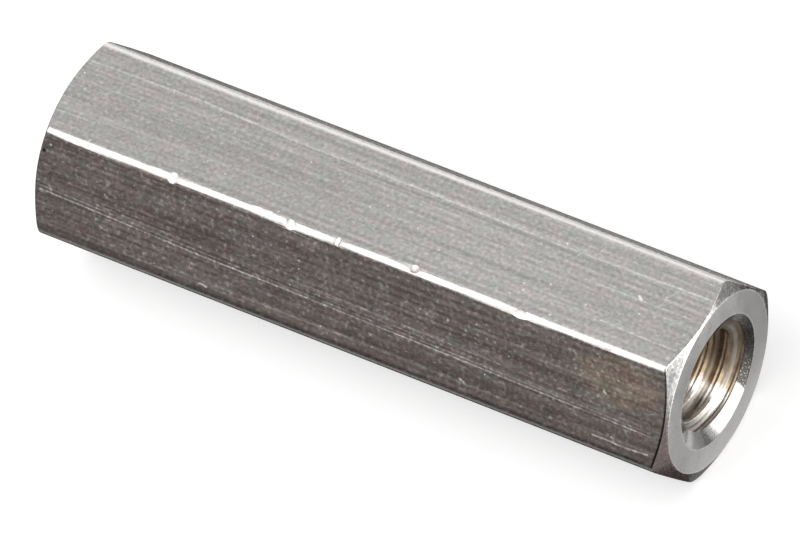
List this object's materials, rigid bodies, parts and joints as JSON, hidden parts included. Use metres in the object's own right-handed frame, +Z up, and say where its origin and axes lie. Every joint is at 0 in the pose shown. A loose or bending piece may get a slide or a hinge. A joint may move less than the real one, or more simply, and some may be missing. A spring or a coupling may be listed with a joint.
{
  "type": "hex standoff",
  "caption": "Hexagonal metal standoff with a countersunk tapped bore opening at both chamfered ends.",
  "frame": {"origin": "on the surface that the standoff lies on, under the middle of its length", "axes": "+X along the bore towards one open end, +Y across two opposite corners, +Z up from the flat that it lies on"},
  "size_m": [0.018, 0.0056, 0.005],
  "materials": {
    "drawn_steel": "bright drawn flats with fine lengthwise lines, turned ends and a cut thread"
  },
  "bodies": {
    "root": {"hex_standoff": "drawn_steel"}
  },
  "joints": []
}
